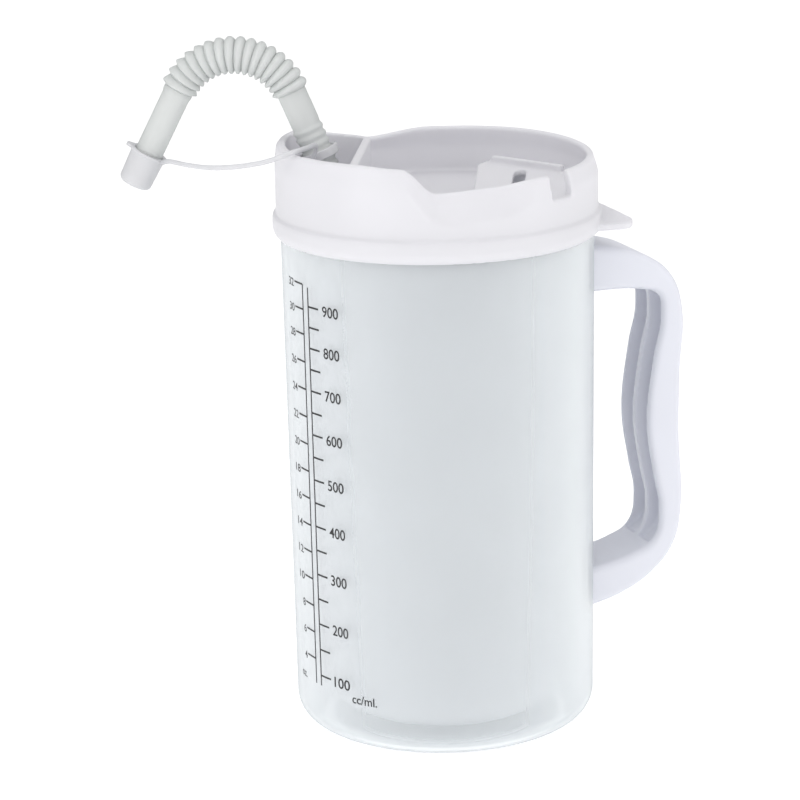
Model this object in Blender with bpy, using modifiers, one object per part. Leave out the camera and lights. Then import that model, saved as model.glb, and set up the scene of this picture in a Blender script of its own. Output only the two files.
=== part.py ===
"""A 32 oz double-wall insulated drinking mug: clear outer shell, inner liner, side handle, lid with a
drinking lip, and a flexible straw with a tethered cap.

Metres, +Z up. The origin is the middle of the base, on the surface the mug stands on, and the handle
points along +X. Run it with: blender --background --python part.py
"""

from math import acos, asin, atan2, cos, degrees, hypot, pi, radians, sin, sqrt

import bmesh
import bpy
from mathutils import Matrix, Vector

MM = 0.001
CLEAR = 0.3  # gap between pieces that touch, in mm, as every length below

# Outer shell
SHELL_TOP_R = 51.0
SHELL_FOOT_R = 49.6
SHELL_H = 171.0
SHELL_WALL = 1.6
SHELL_CORNER = 8.8

# Inner liner
LINER_GAP = 1.2  # between the walls, at the top
LINER_FOOT_GAP = 2.0
LINER_WALL = 1.4
LINER_CORNER = 24.0
LINER_FLOOR_GAP = 1.6
LIP_T = 1.1
LINER_TOP_R = SHELL_TOP_R - SHELL_WALL - LINER_GAP
LINER_FOOT_R = SHELL_FOOT_R - SHELL_WALL - LINER_FOOT_GAP

# Lid
SKIRT_T = 2.1
SKIRT_H = 8.2
BEAD_H = 7.9
BEAD_STEP = 1.2
DECK_T = 1.8
PLUG_T = 1.5
PLUG_DEPTH = 6.5
COLLAR_T = 2.5
RIM_HIGH = 21.0  # rim above the deck on the straw's side
RIM_BACK = 15.7
RIM_FRONT = 11.9  # bottom of the drinking scoop
LID_TURN = -25.5  # degrees, how the lid sits on the mug: its thumb tab against the handle

# Straw pocket, in the lid
POCKET_RIGHT = -22.5  # outside of its wall towards the middle of the lid
POCKET_FAR = 19.0  # outside of its far wall
POCKET_CORNER = 5.0
POCKET_FALL = 5.8  # degrees, its top edge down towards the middle
POCKET_T = 2.5
POCKET_FLOOR = 7.0  # above the deck

# Drinking platform, in the lid
PLATFORM_LEFT = 12.3
PLATFORM_CORNER = (15.3, 18.2)  # where its ledge starts
PLATFORM_SLOPE = -35.8  # degrees, the way the ledge runs
PLATFORM_HIGH = 8.9  # its back edge above the deck
PLATFORM_FALL = 11.8  # degrees, down towards the lip
PLATFORM_T = 2.0
LEDGE_H = 2.6
LEDGE_T = 1.8
SLOT_AT = (26.8, 5.8)
SLOT_W = 4.0
SLOT_L = 20.0

# Notch in the collar that holds the straw's tip
NOTCH_AT = -36.4
NOTCH_W = 9.2
NOTCH_FLOOR = 6.9

# Thumb tab
TAB_REACH = 11.1  # its tip beyond the collar
TAB_LEFT = 27.0  # its root's reach to the left of the lid's middle line
TAB_RIGHT = 8.8
TAB_T = 2.3
TAB_TOP = 6.2  # below the deck's top

# Handle
HANDLE_W = 24.5
HANDLE_EDGE = 2.0
HANDLE_SPINE = 2.8
HANDLE_SIDE = 2.3
HANDLE_RIB = 2.4
ARM_DOWN = 22.2  # the upper arm's middle below the shell's top
ARM_SPACING = 108.6
UPPER_ARM_Z = SHELL_H - ARM_DOWN
LOWER_ARM_Z = UPPER_ARM_Z - ARM_SPACING
LUG_W = 12.0
LUG_H = 7.0
LUG_OUT = 4.6

# Straw
STRAW_OD = 9.6
STRAW_WALL = 0.8
STRAW_FOOT = (-4.8, 26.0)  # (x, z) of its lower end, in the lid's plane of symmetry
FOOT_TILT_DEG = 2.0  # degrees from upright
STRAW_TILT = 23.5  # where the bellows starts
TUBE_L = SHELL_H + 19.1
NECK_RIBS = 7
NECK_PITCH = 2.6
BELLOWS_ARC_R = 20.2
BELLOWS_BEND = 129.3
BELLOWS_LINKS = 4
RIBS_PER_LINK = 4
RIB_OD = STRAW_OD + 2.8
MOUTH_OD = STRAW_OD - 0.4
MOUTH_L = 33.3

# Straw cap and its tether
CAP_L = 11.9
CAP_WALL = 0.9
CAP_OVERLAP = 10.1
FLANGE_OD = MOUTH_OD + 3.6
FLANGE_T = 1.0
FINGER_TAB = 1.5  # beyond the flange
RING_OD = STRAW_OD + 3.8
RING_H = 3.0
RING_UP = 8.5  # its middle above the pocket's floor
STRAP_T = 1.1

TURN_STEPS = 64
LID_STEPS = 72


# ---------------------------------------------------------------- scene and materials

def clear_scene():
    for obj in list(bpy.data.objects):
        bpy.data.objects.remove(obj)


def collection(name):
    made = bpy.data.collections.new(name)
    bpy.context.scene.collection.children.link(made)
    return made


def plastic(name, colour, roughness, transmission=0.0, alpha=1.0):
    mat = bpy.data.materials.new(name)
    mat.use_nodes = True
    shader = mat.node_tree.nodes["Principled BSDF"]
    shader.inputs["Base Color"].default_value = (*colour, 1.0)
    shader.inputs["Roughness"].default_value = roughness
    shader.inputs["Metallic"].default_value = 0.0
    shader.inputs["Transmission Weight"].default_value = transmission
    shader.inputs["Alpha"].default_value = alpha
    mat.diffuse_color = (*colour, alpha)
    return mat


def link(obj, group, mat, parent=None):
    group.objects.link(obj)
    obj.data.materials.append(mat)
    if parent is not None:
        obj.parent = parent
    return obj


def empty(name, group, place, parent=None, turn=0.0):
    obj = bpy.data.objects.new(name, None)
    obj.location = Vector(place) * MM
    obj.rotation_euler = (0.0, 0.0, turn)
    obj.empty_display_size = 0.01
    group.objects.link(obj)
    obj.parent = parent
    return obj


def smooth(obj, angle=35.0):
    obj.data.shade_smooth()
    obj.data.set_sharp_from_angle(angle=radians(angle))


def object_of(bm, name):
    bmesh.ops.recalc_face_normals(bm, faces=bm.faces)
    mesh = bpy.data.meshes.new(name)
    bm.to_mesh(mesh)
    bm.free()
    return bpy.data.objects.new(name, mesh)


# ---------------------------------------------------------------- shapes

def turned(name, profile, steps=TURN_STEPS):
    """A solid of revolution about Z from (r, z) points in mm, given down the outer side and up the inner."""
    bm = bmesh.new()
    verts = [bm.verts.new((r * MM, 0.0, z * MM)) for r, z in profile]
    for a, b in zip(verts, verts[1:]):
        bm.edges.new((a, b))
    mesh = bpy.data.meshes.new(name)
    bm.to_mesh(mesh)
    bm.free()
    obj = bpy.data.objects.new(name, mesh)
    screw = obj.modifiers.new("turn", "SCREW")
    screw.steps = screw.render_steps = steps
    screw.use_merge_vertices = True
    screw.merge_threshold = 1e-6
    return obj


def arc(centre, radius, start, end, steps):
    """Points of an arc in degrees, both ends in."""
    return [
        (centre[0] + radius * cos(radians(start + (end - start) * i / steps)),
         centre[1] + radius * sin(radians(start + (end - start) * i / steps)))
        for i in range(steps + 1)
    ]


def prism(name, outline, low, high):
    """An upright prism with a polygon outline, in mm."""
    bm = bmesh.new()
    face = bm.faces.new([bm.verts.new((x * MM, y * MM, low * MM)) for x, y in outline])
    raised = bmesh.ops.extrude_face_region(bm, geom=[face])["geom"]
    lifted = [v for v in raised if isinstance(v, bmesh.types.BMVert)]
    bmesh.ops.translate(bm, verts=lifted, vec=(0.0, 0.0, (high - low) * MM))
    return object_of(bm, name)


def box(name, low, high):
    outline = [(low[0], low[1]), (high[0], low[1]), (high[0], high[1]), (low[0], high[1])]
    return prism(name, outline, low[2], high[2])


def cylinder(name, radius, length, place, steps=32):
    """A cylinder along Z, centred at place."""
    bm = bmesh.new()
    bmesh.ops.create_cone(
        bm, cap_ends=True, segments=steps, radius1=radius * MM, radius2=radius * MM, depth=length * MM
    )
    bmesh.ops.translate(bm, verts=bm.verts, vec=Vector(place) * MM)
    return object_of(bm, name)


def baked(obj):
    """The object with its modifiers applied."""
    bpy.context.view_layer.update()
    graph = bpy.context.evaluated_depsgraph_get()
    mesh = bpy.data.meshes.new_from_object(obj.evaluated_get(graph))
    bm = bmesh.new()
    bm.from_mesh(mesh)
    bmesh.ops.remove_doubles(bm, verts=bm.verts, dist=1e-7)
    bm.to_mesh(mesh)
    bm.free()
    old = obj.data
    obj.modifiers.clear()
    obj.data = mesh
    if isinstance(old, bpy.types.Mesh):
        bpy.data.meshes.remove(old)
    return obj


def boolean(obj, other, how, helpers):
    """Joins or cuts with a helper object, which is then kept out of the renders."""
    helpers.objects.link(other)
    other.hide_render = True
    other.display_type = "WIRE"
    step = obj.modifiers.new(other.name, "BOOLEAN")
    step.operation = how
    step.solver = "EXACT"
    step.object = other


def swept(name, points, section, ups, closed_ends=True):
    """A tube or bar: the section (across, up) in mm at each point, either one section or one for each."""
    bm = bmesh.new()
    rings = []
    for i, point in enumerate(points):
        before = points[max(i - 1, 0)]
        after = points[min(i + 1, len(points) - 1)]
        along = (Vector(after) - Vector(before)).normalized()
        across = along.cross(Vector(ups)).normalized()
        up = across.cross(along)
        shape = section[i] if isinstance(section[0], list) else section
        rings.append([bm.verts.new((Vector(point) + across * a + up * b) * MM) for a, b in shape])
    for ring, following in zip(rings, rings[1:]):
        count = len(ring)
        for k in range(count):
            bm.faces.new((ring[k], ring[(k + 1) % count], following[(k + 1) % count], following[k]))
    if closed_ends:
        bm.faces.new(rings[0])
        bm.faces.new(rings[-1])
    return object_of(bm, name)


def circle(radius, sides):
    return [(radius * cos(2 * pi * k / sides), radius * sin(2 * pi * k / sides)) for k in range(sides)]


def pipe(name, stations, outer, inner, sides):
    """A pipe open at both ends through (place, direction) stations in the XZ plane, with one outer and
    inner radius for each."""
    bm = bmesh.new()
    across = Vector((0.0, 1.0, 0.0))
    skins = []
    for radii in (outer, inner):
        rings = []
        for (place, way), radius in zip(stations, radii):
            up = across.cross(way)
            rings.append([bm.verts.new((place + across * a + up * b) * MM) for a, b in circle(radius, sides)])
        skins.append(rings)
    for rings in skins:
        for ring, following in zip(rings, rings[1:]):
            for k in range(sides):
                bm.faces.new((ring[k], ring[(k + 1) % sides], following[(k + 1) % sides], following[k]))
    for end in (0, -1):
        for k in range(sides):
            bm.faces.new((
                skins[0][end][k], skins[0][end][(k + 1) % sides],
                skins[1][end][(k + 1) % sides], skins[1][end][k],
            ))
    return object_of(bm, name)


def eased(value):
    """0 to 1 with level ends."""
    t = min(max(value, 0.0), 1.0)
    return t * t * (3.0 - 2.0 * t)


def read_off(table, at):
    """A value between the (place, value) pairs of a table, with level joins."""
    for (x0, v0), (x1, v1) in zip(table, table[1:]):
        if at <= x1:
            return v0 + (v1 - v0) * eased((at - x0) / (x1 - x0))
    return table[-1][1]


# ---------------------------------------------------------------- mug

def shell_radius(z):
    return SHELL_FOOT_R + (SHELL_TOP_R - SHELL_FOOT_R) * (z - SHELL_CORNER) / (SHELL_H - SHELL_CORNER)


def liner_radius(z):
    foot = LINER_CORNER
    return LINER_FOOT_R + (LINER_TOP_R - LINER_FOOT_R) * (z - foot) / (SHELL_H - foot)


def make_shell(group, helpers, mat):
    corner_r = SHELL_FOOT_R - SHELL_CORNER
    inner_corner = SHELL_CORNER - SHELL_WALL
    profile = [
        (0.0, SHELL_WALL), *arc((corner_r, SHELL_CORNER), inner_corner, -90, 0, 5),
        (SHELL_TOP_R - SHELL_WALL, SHELL_H), (SHELL_TOP_R, SHELL_H),
        *arc((corner_r, SHELL_CORNER), SHELL_CORNER, 0, -90, 6), (0.0, 0.0),
    ]
    shell = turned("outer_shell", profile)
    for name, z in (("upper_lug", UPPER_ARM_Z), ("lower_lug", LOWER_ARM_Z)):
        wall = shell_radius(z) - SHELL_WALL / 2
        out = shell_radius(z) + LUG_OUT
        lug = box(name, (wall, -LUG_W / 2, z - LUG_H / 2), (out, LUG_W / 2, z + LUG_H / 2))
        boolean(shell, lug, "UNION", helpers)
    smooth(shell)
    return link(shell, group, mat)


def make_liner(group, mat):
    floor = SHELL_WALL + LINER_FLOOR_GAP
    corner_r = liner_radius(LINER_CORNER) - LINER_CORNER
    centre = (corner_r, floor + LINER_CORNER)
    lip_low = SHELL_H + CLEAR
    lip_high = lip_low + LIP_T
    profile = [
        (0.0, floor + LINER_WALL), *arc(centre, LINER_CORNER - LINER_WALL, -90, 0, 7),
        (LINER_TOP_R - LINER_WALL, lip_high), (SHELL_TOP_R, lip_high), (SHELL_TOP_R, lip_low),
        (LINER_TOP_R, lip_low), *arc(centre, LINER_CORNER, 0, -90, 7), (0.0, floor),
    ]
    liner = turned("inner_liner", profile)
    smooth(liner)
    return link(liner, group, mat)


def outline_curve(name, points, depth, edge):
    """A flat outline in the XZ plane through smooth points, this deep along Y, with rounded edges."""
    curve = bpy.data.curves.new(name, "CURVE")
    curve.dimensions = "2D"
    curve.fill_mode = "BOTH"
    curve.resolution_u = 3
    curve.extrude = (depth / 2 - edge) * MM
    curve.bevel_depth = edge * MM
    curve.bevel_resolution = 1
    curve.offset = -edge * MM
    spline = curve.splines.new("BEZIER")
    spline.bezier_points.add(len(points) - 1)
    spline.use_cyclic_u = True
    for knot, (x, z, kind) in zip(spline.bezier_points, points):
        knot.co = (x * MM, z * MM, 0.0)
        knot.handle_left_type = knot.handle_right_type = kind
    obj = bpy.data.objects.new(name, curve)
    obj.rotation_euler = (radians(90), 0.0, 0.0)
    bpy.context.scene.collection.objects.link(obj)
    bpy.context.view_layer.update()
    graph = bpy.context.evaluated_depsgraph_get()
    mesh = bpy.data.meshes.new_from_object(obj.evaluated_get(graph))
    mesh.transform(obj.matrix_world)
    bm = bmesh.new()
    bm.from_mesh(mesh)
    bmesh.ops.remove_doubles(bm, verts=bm.verts, dist=1e-6)
    bpy.data.objects.remove(obj)
    bpy.data.meshes.remove(mesh)
    return object_of(bm, name)


def beside_wall(points):
    """Points given as (out from the shell's top radius, up from the upper arm's middle, kind)."""
    return [(SHELL_TOP_R + out, UPPER_ARM_Z + up, kind) for out, up, kind in points]


def handle_outer():
    """The handle's outer edge seen from its side, from the upper arm round to the lower arm."""
    return beside_wall([
        (-3.0, 8.1, "VECTOR"), (7.6, 6.8, "AUTO"), (19.1, 2.8, "AUTO"), (28.0, -4.6, "AUTO"),
        (31.8, -15.4, "AUTO"), (31.0, -37.8, "AUTO"), (30.7, -58.8, "AUTO"), (31.4, -85.8, "AUTO"),
        (28.6, -97.8, "AUTO"), (20.8, -106.8, "AUTO"), (9.0, -113.2, "AUTO"), (-4.0, -116.5, "VECTOR"),
    ])


def handle_inner():
    """The finger side, from the lower arm back up to the upper arm."""
    return beside_wall([
        (-4.0, -102.8, "VECTOR"), (14.0, -99.0, "AUTO"), (21.0, -95.0, "AUTO"), (23.3, -84.8, "AUTO"),
        (21.2, -72.8, "AUTO"), (18.8, -54.8, "AUTO"), (21.4, -31.8, "AUTO"), (24.1, -17.8, "AUTO"),
        (22.6, -10.4, "AUTO"), (17.5, -8.6, "AUTO"), (-3.0, -7.5, "VECTOR"),
    ])


def make_handle(group, helpers, mat):
    handle = outline_curve("handle", handle_outer() + handle_inner(), HANDLE_W, HANDLE_EDGE)
    channel_w = (HANDLE_W - 2 * HANDLE_SIDE - HANDLE_RIB) / 2
    spine = [(x - HANDLE_SPINE, z) for x, z, _ in handle_outer()[4:8]]
    turn = [(9.0, -11.4, "VECTOR"), (22.2, -10.6, "VECTOR")]
    back = [(26.4, -93.2, "AUTO"), (21.4, -97.2, "VECTOR"), (9.0, -93.4, "VECTOR")]
    channel = [
        *beside_wall(turn), (spine[0][0] - 0.8, UPPER_ARM_Z - 11.8, "AUTO"),
        *[(x, z, "AUTO") for x, z in spine], *beside_wall(back),
    ]
    for side, name in ((1, "finger_channel_left"), (-1, "finger_channel_right")):
        cut = outline_curve(name, channel, channel_w, 0.3)
        cut.location.y = side * (HANDLE_RIB + channel_w) / 2 * MM
        boolean(handle, cut, "DIFFERENCE", helpers)
    foot = -10.0
    cut = turned(
        "mug_wall_cut",
        [(0.0, SHELL_H + 10), (shell_radius(SHELL_H + 10) + CLEAR, SHELL_H + 10),
         (shell_radius(foot) + CLEAR, foot), (0.0, foot)],
        TURN_STEPS * 2,
    )
    boolean(handle, cut, "DIFFERENCE", helpers)
    for name, z in (("upper_socket", UPPER_ARM_Z), ("lower_socket", LOWER_ARM_Z)):
        reach = shell_radius(z) + LUG_OUT + CLEAR
        half_w, half_h = LUG_W / 2 + CLEAR, LUG_H / 2 + CLEAR
        socket = box(name, (SHELL_FOOT_R - 4, -half_w, z - half_h), (reach, half_w, z + half_h))
        boolean(handle, socket, "DIFFERENCE", helpers)
    smooth(handle, 40)
    return link(handle, group, mat)


# ---------------------------------------------------------------- lid

DECK = SHELL_H + CLEAR + LIP_T + CLEAR + DECK_T  # the deck's upper face
SKIRT_IN = SHELL_TOP_R + CLEAR + 0.1
COLLAR_R = SKIRT_IN + SKIRT_T - BEAD_STEP
TAB_TIP = COLLAR_R + TAB_REACH

# Rim height above the deck and inward lean of the wall, against degrees round the lid from its tab
RIM = [
    (-180, RIM_HIGH - 0.9), (-150, RIM_HIGH - 0.8), (-136, RIM_HIGH - 0.4), (-116, RIM_HIGH - 0.2),
    (-98, RIM_HIGH - 1.0), (-86, RIM_FRONT), (-64, RIM_FRONT + 1.0), (-46, RIM_FRONT + 2.8),
    (-30, RIM_BACK - 0.6), (0, RIM_BACK - 0.2), (60, RIM_BACK + 0.4), (96, RIM_BACK), (122, RIM_BACK - 2.2),
    (150, RIM_BACK - 1.0), (164, RIM_HIGH - 0.9), (180, RIM_HIGH - 0.9),
]
LEAN = [
    (-180, 0.6), (-98, 0.8), (-84, 4.4), (-62, 4.0), (-47, 1.0), (-30, 1.4), (122, 2.4), (160, 0.6),
    (180, 0.6),
]
LEAN_FROM = [
    (-180, 14.0), (-98, 13.0), (-84, 2.0), (-62, 3.0), (-47, 6.6), (-30, 9.0), (122, 8.0), (160, 14.0),
    (180, 14.0),
]


def lid_section(at):
    """The lid's section this many degrees round from its tab, as (r, z): from the middle of the deck's
    upper face over the rim, down to the skirt, and back along the underside."""
    rim = DECK + read_off(RIM, at)
    lean = read_off(LEAN, at)
    start = DECK + read_off(LEAN_FROM, at)
    edge = COLLAR_T / 2

    def outer(z):
        return COLLAR_R - lean * eased((z - start) / (rim - start)) if z > start else COLLAR_R

    heights = [DECK + (rim - edge - DECK) * k / 5 for k in range(6)]
    top = (outer(rim - edge) - edge, rim - edge)
    skirt_low = SHELL_H - SKIRT_H + 1.7
    bead_r = COLLAR_R + BEAD_STEP
    bead_top = skirt_low + BEAD_H
    plug_r = LINER_TOP_R - LINER_WALL - CLEAR
    under = DECK - DECK_T
    return [
        (0.0, DECK), (24.0, DECK), (outer(DECK) - COLLAR_T - 0.8, DECK),
        *[(outer(z) - COLLAR_T, z) for z in heights[1:]],
        *arc(top, edge, 180, 0, 6)[1:-1],
        *[(outer(z), z) for z in reversed(heights)],
        (COLLAR_R, bead_top), (bead_r - 0.3, bead_top - 0.7), (bead_r, bead_top - 2.4),
        (bead_r, skirt_low + 3.2), (bead_r - 0.5, skirt_low + 1.4), (bead_r - 1.6, skirt_low + 0.2),
        (SKIRT_IN, skirt_low), (SKIRT_IN, under), (plug_r, under), (plug_r - 0.4, under - PLUG_DEPTH),
        (plug_r - PLUG_T, under - PLUG_DEPTH), (plug_r - PLUG_T, under), (20.0, under), (0.0, under),
    ]


def lofted_lid(name):
    """The lid's wall, deck, skirt and plug, from sections round its axis."""
    bm = bmesh.new()
    rows = []
    for k in range(LID_STEPS):
        at = -180.0 + 360.0 * k / LID_STEPS
        turn = radians(at)
        rows.append([
            bm.verts.new((r * cos(turn) * MM, r * sin(turn) * MM, z * MM)) for r, z in lid_section(at)
        ])
    for k in range(LID_STEPS):
        here, there = rows[k], rows[(k + 1) % LID_STEPS]
        for i in range(len(here) - 1):
            bm.faces.new((here[i], here[i + 1], there[i + 1], there[i]))
    bmesh.ops.remove_doubles(bm, verts=bm.verts, dist=1e-6)
    return object_of(bm, name)


def platform_back(x, inset=0.0):
    """y on the platform's straight back edge, behind its ledge."""
    slope = radians(PLATFORM_SLOPE)
    behind = (LEDGE_T - inset) / cos(slope)
    return PLATFORM_CORNER[1] + behind + (x - PLATFORM_CORNER[0]) * sin(slope) / cos(slope)


def platform_outline(inset, wall_r):
    """The drinking platform seen from above: a straight back edge, a straight left side and the wall."""
    left = PLATFORM_LEFT + inset
    steps = [wall_r * k / 200 for k in range(201)]
    right = max(x for x in steps if hypot(x, platform_back(x, inset)) <= wall_r)
    first = degrees(atan2(platform_back(right, inset), right))
    last = degrees(atan2(-sqrt(wall_r**2 - left**2), left))
    bend = PLATFORM_CORNER[0] - PLATFORM_LEFT
    back = platform_back(left, inset)
    corner = [(left, back - bend * 1.6), (left + bend, platform_back(left + bend, inset))]
    return corner + arc((0, 0), wall_r, first, last, 12)


def sloped_top(obj, drop):
    """Cuts the top of a prism along the platform's slope, this far below its surface."""
    slope = radians(PLATFORM_SLOPE)
    front = Vector((sin(slope), -cos(slope), 0.0))
    normal = Vector((0, 0, 1)) * cos(radians(PLATFORM_FALL)) + front * sin(radians(PLATFORM_FALL))
    at = Vector((*PLATFORM_CORNER, DECK + PLATFORM_HIGH)) - normal * drop
    return cut_above(obj, at, normal)


def cut_above(obj, at, normal):
    """Takes away what is on the far side of a plane, and closes the cut."""
    bm = bmesh.new()
    bm.from_mesh(obj.data)
    cut = bmesh.ops.bisect_plane(
        bm, geom=[*bm.verts, *bm.edges, *bm.faces], plane_co=at * MM, plane_no=normal, clear_outer=True
    )
    bmesh.ops.contextual_create(bm, geom=[e for e in cut["geom_cut"] if isinstance(e, bmesh.types.BMEdge)])
    bmesh.ops.recalc_face_normals(bm, faces=bm.faces)
    bm.to_mesh(obj.data)
    bm.free()
    return obj


def splash_ledge():
    """The low wall along the platform's back edge, with a slanting left end."""
    slope = radians(PLATFORM_SLOPE)
    along = Vector((cos(slope), sin(slope), 0.0))
    front = Vector((sin(slope), -cos(slope), 0.0))
    start = Vector((*PLATFORM_CORNER, DECK + PLATFORM_HIGH))
    reach = 31.0
    side = [(0.0, -2.5), (0.0, 0.0), (2.4, LEDGE_H), (reach, LEDGE_H), (reach, -2.5)]
    bm = bmesh.new()
    rows = []
    for depth in (0.0, -LEDGE_T + 0.1):
        rows.append([
            bm.verts.new((start + along * s + front * depth + Vector((0, 0, h))) * MM) for s, h in side
        ])
    bm.faces.new(rows[0])
    bm.faces.new(rows[1])
    for k in range(len(side)):
        bm.faces.new((rows[0][k], rows[0][k - 1], rows[1][k - 1], rows[1][k]))
    return object_of(bm, "splash_ledge")


def pocket_outline(inset, wall_r):
    """The straw pocket seen from above: the lid's wall on the left and in front, a straight right side and a
    straight far side with a rounded corner between them."""
    right = POCKET_RIGHT - inset
    far = POCKET_FAR - inset
    corner = POCKET_CORNER - inset
    first = 180 - degrees(asin(far / wall_r))
    last = 360 - degrees(acos(right / wall_r))
    return arc((right - corner, far - corner), corner, 0, 90, 5) + arc((0, 0), wall_r, first, last, 16)


def through(knots, steps):
    """A smooth run of points through these ones."""
    points = []
    for i in range(len(knots) - 1):
        before, a, b, after = knots[max(i - 1, 0)], knots[i], knots[i + 1], knots[min(i + 2, len(knots) - 1)]
        for k in range(steps):
            t = k / steps
            points.append(0.5 * (
                2 * a + (b - before) * t + (2 * before - 5 * a + 4 * b - after) * t**2
                + (3 * a - before - 3 * b + after) * t**3
            ))
    return [*points, knots[-1]]


def tab_outline(steps):
    """The thumb tab seen from above: a long slanting left side, a rounded tip and a short right side."""
    knots = [
        (TAB_TIP - 15.4, TAB_LEFT + 5.0), (TAB_TIP - 11.5, TAB_LEFT), (TAB_TIP - 6.9, TAB_LEFT - 9.5),
        (TAB_TIP - 2.6, 8.1), (TAB_TIP - 0.6, 3.5), (TAB_TIP, -1.0), (TAB_TIP - 0.8, 4.2 - TAB_RIGHT),
        (TAB_TIP - 2.9, 2.5 - TAB_RIGHT), (TAB_TIP - 6.4, 1.2 - TAB_RIGHT), (TAB_TIP - 9.9, -TAB_RIGHT),
        (TAB_TIP - 15.4, -TAB_RIGHT - 0.8),
    ]
    return [(v.x, v.y) for v in through([Vector(k) for k in knots], steps)]


def make_lid(group, helpers, mat, axis):
    lid = lofted_lid("lid")
    under = DECK - DECK_T
    mid_deck = DECK - DECK_T / 2

    platform = sloped_top(prism("platform", platform_outline(0.0, COLLAR_R - 1.2), mid_deck, DECK + 20), 0.0)
    boolean(lid, platform, "UNION", helpers)
    plug_in = LINER_TOP_R - LINER_WALL - CLEAR - PLUG_T
    hollow = prism("platform_hollow", platform_outline(PLATFORM_T, plug_in - 0.6), under - 3, DECK + 20)
    boolean(lid, sloped_top(hollow, PLATFORM_T), "DIFFERENCE", helpers)
    ledge = splash_ledge()
    boolean(lid, ledge, "UNION", helpers)
    x, y = SLOT_AT
    slot = prism(
        "drinking_slot",
        arc((x, y), SLOT_W / 2, 0, 180, 8) + arc((x - 0.4, y - SLOT_L + SLOT_W), SLOT_W / 2, 180, 360, 8),
        under - 3, DECK + 20,
    )
    boolean(lid, slot, "DIFFERENCE", helpers)

    rim = Vector((-COLLAR_R, 0, DECK + RIM_HIGH - 0.2))
    fall = radians(POCKET_FALL)
    tower = prism("pocket_tower", pocket_outline(0.0, COLLAR_R - 1.4), mid_deck, DECK + 30)
    boolean(lid, cut_above(tower, rim, Vector((sin(fall), 0, cos(fall)))), "UNION", helpers)
    floor = DECK + POCKET_FLOOR
    well = prism("pocket_well", pocket_outline(POCKET_T, COLLAR_R - COLLAR_T - 1.2), floor, DECK + 30)
    boolean(lid, well, "DIFFERENCE", helpers)
    core = prism("pocket_core", pocket_outline(POCKET_T, plug_in - 0.6), under - 3, floor - 2.0)
    boolean(lid, core, "DIFFERENCE", helpers)
    points = [straw_at(TUBE_L * k / 40)[0] for k in range(41)]
    inner = [p for p in points if floor - 12 < p.z < floor + 8]
    bore = swept("straw_bore", inner, circle(STRAW_OD / 2 + CLEAR + 0.5, 32), (0, 1, 0))
    boolean(lid, bore, "DIFFERENCE", helpers)

    notch = box(
        "straw_notch", (COLLAR_R - 6.5, -NOTCH_W / 2, DECK + NOTCH_FLOOR),
        (COLLAR_R + 5, NOTCH_W / 2, DECK + 40),
    )
    notch.rotation_euler = (0, 0, radians(NOTCH_AT))
    boolean(lid, notch, "DIFFERENCE", helpers)

    tab = prism("thumb_tab", tab_outline(2), DECK - TAB_TOP - TAB_T, DECK - TAB_TOP)
    keep = cylinder("tab_root_cut", SKIRT_IN + SKIRT_T / 2, 40, (0, 0, DECK - 10), TURN_STEPS * 2)
    boolean(tab, keep, "DIFFERENCE", helpers)
    helpers.objects.link(tab)
    tab = baked(tab)
    helpers.objects.unlink(tab)
    boolean(lid, tab, "UNION", helpers)
    smooth(lid, 40)
    link(lid, group, mat, axis)
    for cut in lid.modifiers:
        cut.object.parent = axis
    return lid


# ---------------------------------------------------------------- straw

FOOT_TILT = radians(FOOT_TILT_DEG)
TUBE_CURVE = (radians(STRAW_TILT) - FOOT_TILT) / TUBE_L


def straw_at(s):
    """The place on the straw's axis s mm up from its foot, and the straw's direction there."""
    tilt = FOOT_TILT + TUBE_CURVE * s
    x = STRAW_FOOT[0] - (cos(FOOT_TILT) - cos(tilt)) / TUBE_CURVE
    z = STRAW_FOOT[1] + (sin(tilt) - sin(FOOT_TILT)) / TUBE_CURVE
    return Vector((x, 0.0, z)), Vector((-sin(tilt), 0.0, cos(tilt)))


def bellows_frame(share):
    """The place and direction this share of the way along the bellows, on its axis."""
    turn = radians(STRAW_TILT + BELLOWS_BEND * share)
    tilt = radians(STRAW_TILT)
    centre = straw_at(TUBE_L)[0] + Vector((-cos(tilt), 0, -sin(tilt))) * BELLOWS_ARC_R
    place = centre + Vector((cos(turn), 0, sin(turn))) * BELLOWS_ARC_R
    return place, Vector((-sin(turn), 0, cos(turn)))


def make_tube(group, mat, axis):
    """The rigid length of the straw, with a short ribbed neck above the lid."""
    neck_end = TUBE_L - 12.0
    neck_start = neck_end - NECK_RIBS * NECK_PITCH
    plain = [neck_start * k / 14 for k in range(15)]
    ribs = [neck_start + NECK_PITCH * k / 2 for k in range(1, 2 * NECK_RIBS + 1)]
    top = TUBE_L - CLEAR / 2
    stations = plain + ribs + [top]
    radius = STRAW_OD / 2
    neck = [radius + (0.45 if k % 2 else 0.0) for k in range(1, 2 * NECK_RIBS + 1)]
    outer = [radius] * len(plain) + neck + [radius]
    inner = [r - STRAW_WALL for r in outer]
    tube = pipe("straw_tube", [straw_at(s) for s in stations], outer, inner, 16)
    smooth(tube, 60)
    return link(tube, group, mat, axis)


def make_bellows(group, mat, axis):
    made = []
    gap = CLEAR / (radians(BELLOWS_BEND) * BELLOWS_ARC_R) / 2
    for number in range(BELLOWS_LINKS):
        first = number / BELLOWS_LINKS + gap
        last = (number + 1) / BELLOWS_LINKS - gap
        steps = 2 * RIBS_PER_LINK
        shares = [first + (last - first) * k / steps for k in range(steps + 1)]
        outer = [RIB_OD / 2 if k % 2 else STRAW_OD / 2 for k in range(steps + 1)]
        inner = [r - STRAW_WALL for r in outer]
        part = pipe(f"straw_bellows_{number + 1}", [bellows_frame(v) for v in shares], outer, inner, 20)
        smooth(part, 20)
        made.append(link(part, group, mat, axis))
    return made


def along_mouth(distance):
    place, way = bellows_frame(1.0)
    return place + way * distance


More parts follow.
